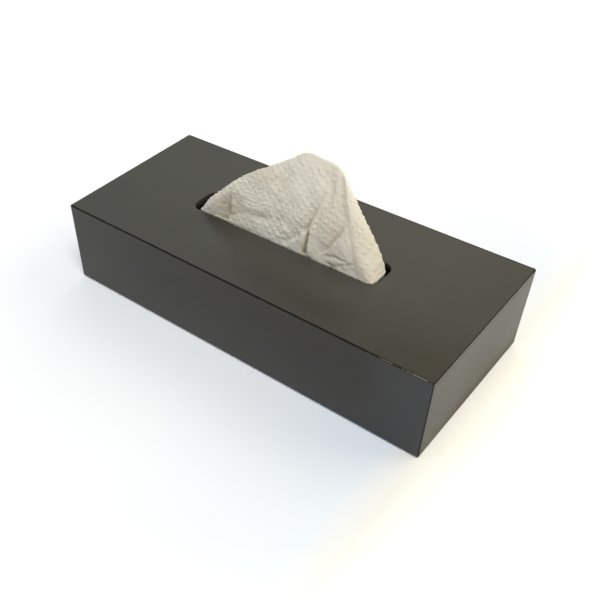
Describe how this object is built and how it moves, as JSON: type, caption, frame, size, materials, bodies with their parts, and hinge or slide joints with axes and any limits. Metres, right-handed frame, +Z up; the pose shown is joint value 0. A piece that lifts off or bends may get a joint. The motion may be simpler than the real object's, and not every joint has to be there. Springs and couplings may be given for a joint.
{
  "type": "tissue box with drawer",
  "caption": "Flat lacquered tissue box with a rounded slot in its top, a standing tissue, and a flush drawer at one end that slides out for refilling.",
  "frame": {"origin": "on the table, under the middle of the box", "axes": "+X along the box towards the drawer front, +Y to the back, +Z up"},
  "size_m": [0.26, 0.115, 0.116],
  "materials": {
    "lacquered_board": "satin anthracite lacquer on thin fibreboard",
    "drawer_board": "matt black stain on thin plywood",
    "glide_plastic": "low-friction tape",
    "stop_pin_wood": "plain beech dowel",
    "nickel_plate": "nickel plated",
    "felt": "pressed black felt",
    "tissue_paper": "soft embossed tissue"
  },
  "bodies": {
    "casing": {"top_panel": "lacquered_board", "front_panel": "lacquered_board", "back_panel": "lacquered_board", "left_end_panel": "lacquered_board", "base_panel": "lacquered_board", "glide_strip_front": "glide_plastic", "glide_strip_back": "glide_plastic", "stop_pins": "stop_pin_wood", "catch_magnet": "nickel_plate", "felt_pad_front_left": "felt", "felt_pad_back_left": "felt", "felt_pad_front_right": "felt", "felt_pad_back_right": "felt"},
    "drawer": {"drawer_front": "lacquered_board", "drawer_side_front": "drawer_board", "drawer_side_back": "drawer_board", "drawer_back": "drawer_board", "drawer_bottom": "drawer_board", "stop_cleat": "drawer_board", "strike_disc": "nickel_plate", "tissue_stack": "tissue_paper"},
    "tissue": {"standing_tissue": "tissue_paper"}
  },
  "joints": [
    {"name": "drawer_slide", "type": "slide", "parent": "casing", "child": "drawer", "axis": [1, 0, 0], "range_m": [0, 0.225]},
    {"name": "tissue_pull", "type": "slide", "parent": "casing", "child": "tissue", "axis": [0, 0, 1], "range_m": [0, 0.06]}
  ]
}
